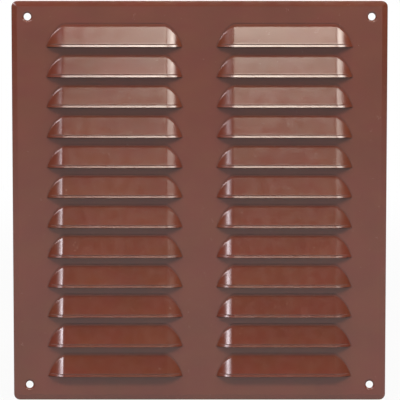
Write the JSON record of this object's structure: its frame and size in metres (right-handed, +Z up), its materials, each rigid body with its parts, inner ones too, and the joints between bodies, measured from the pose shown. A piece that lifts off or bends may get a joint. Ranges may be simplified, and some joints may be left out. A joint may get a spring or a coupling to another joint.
{
  "type": "ventilation grille",
  "caption": "Rectangular pressed steel ventilation grille with two columns of fixed hooded louvres, a turned-back rim, corner screw holes and an insect screen behind.",
  "frame": {"origin": "middle of the bottom run of the rim's back edge, in the wall plane", "axes": "+Z up along the grille's height, +X to the right seen from the front, +Y into the wall; the louvres face -Y"},
  "size_m": [0.235, 0.0096, 0.2515],
  "materials": {
    "brown_coating": "semi-gloss powder coat",
    "screen_wire": "matte coated yarn",
    "adhesive": "matte"
  },
  "bodies": {
    "root": {"face_plate": "brown_coating", "insect_screen": "screen_wire", "bond_strip_left": "adhesive", "bond_strip_right": "adhesive", "bond_strip_top": "adhesive", "bond_strip_bottom": "adhesive", "bond_strip_middle": "adhesive"}
  },
  "joints": []
}
